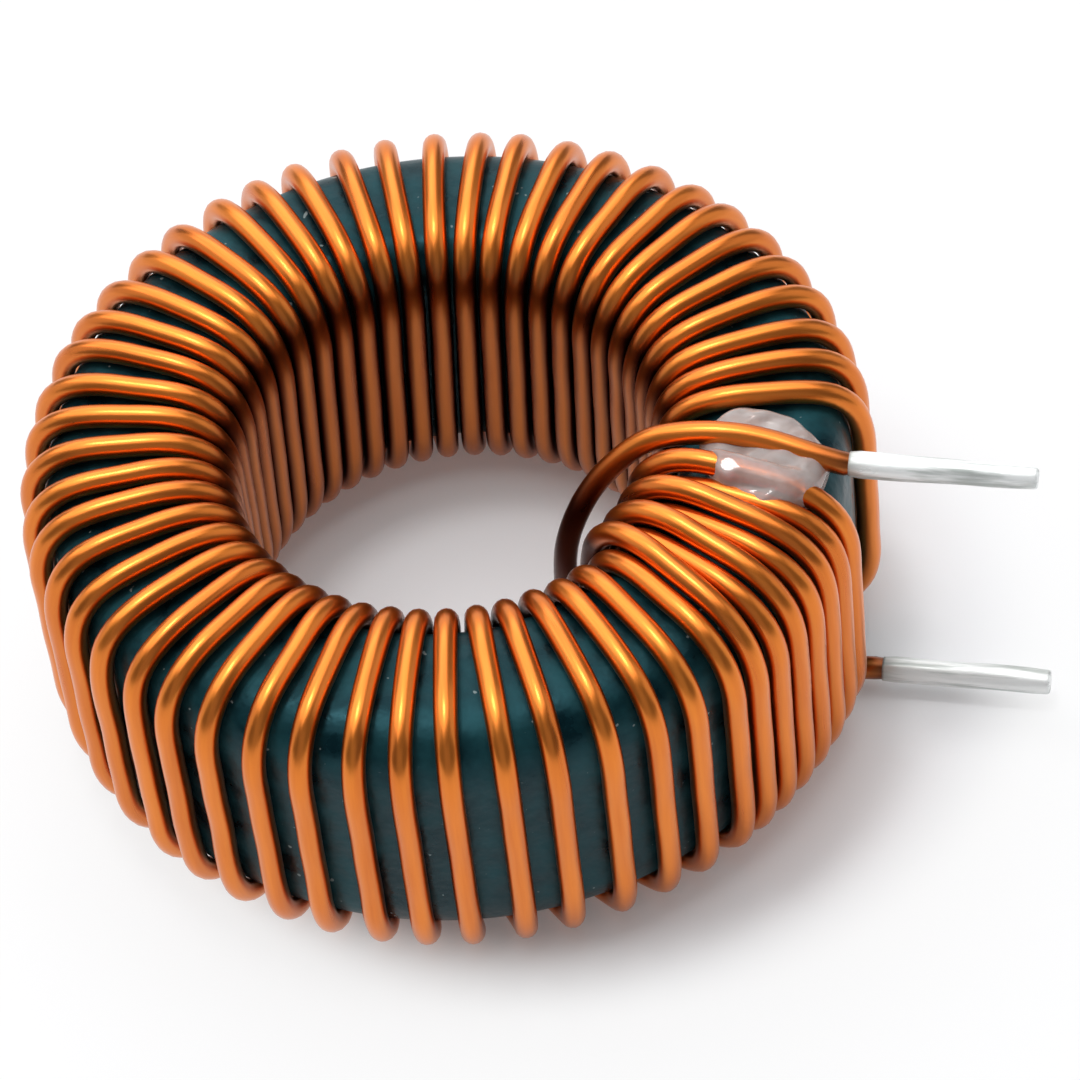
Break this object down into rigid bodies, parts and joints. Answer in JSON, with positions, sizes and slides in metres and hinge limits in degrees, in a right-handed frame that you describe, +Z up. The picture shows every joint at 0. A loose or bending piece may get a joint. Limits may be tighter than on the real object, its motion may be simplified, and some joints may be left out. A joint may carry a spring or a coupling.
{
  "type": "toroidal inductor",
  "caption": "Ring core with a dark glossy coat, wound all round with enamelled copper wire whose tinned ends leave the rim, an upper and a lower; it stores energy in a circuit.",
  "frame": {"origin": "on the ring's axis, level with the underside of the winding", "axes": "+Z up along the ring's axis, +X along the two wire ends, pointing out of the rim"},
  "size_m": [0.052, 0.0432, 0.019],
  "materials": {
    "core_coat": "glossy dark green-black coat",
    "enamelled_copper": "clear amber enamel over copper",
    "tin_solder": "dull bright solder",
    "clear_glue": "milky clear glue"
  },
  "bodies": {
    "root": {"toroid_core": "core_coat", "winding": "enamelled_copper", "upper_tinned_end": "tin_solder", "lower_tinned_end": "tin_solder", "glue_drop": "clear_glue"}
  },
  "joints": []
}
